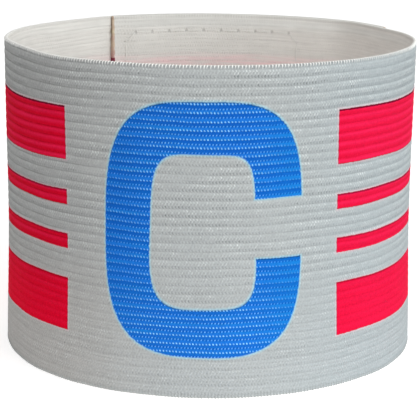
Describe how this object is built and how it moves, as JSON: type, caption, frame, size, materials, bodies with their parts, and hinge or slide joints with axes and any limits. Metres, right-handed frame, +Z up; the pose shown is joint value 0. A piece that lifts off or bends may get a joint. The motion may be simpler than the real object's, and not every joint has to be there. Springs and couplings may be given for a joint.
{
  "type": "captain armband",
  "caption": "Elastic armband for a team captain: ribbed webbing wound into an open ring, lapped and closed at the back by a hook and loop pad, with bars and a letter on the front.",
  "frame": {"origin": "on the floor at the middle of the ring, in the plane of the lower rim", "axes": "+Z up along the arm's axis; the printed front faces -Y; +X is the viewer's right; the lap is at the back, +Y"},
  "size_m": [0.1003, 0.1004, 0.075],
  "materials": {
    "webbing": "ribbed knitted elastic, matte, printed in grey, red and blue on the outside, unprinted white inside",
    "loop_tape": "brushed nylon loops, matte",
    "hook_tape": "stiff nylon hooks, slight sheen",
    "sewing_thread": "twisted polyester thread"
  },
  "bodies": {
    "root": {"elastic_band": "webbing", "loop_pad": "loop_tape", "hook_pad": "hook_tape"}
  },
  "joints": []
}
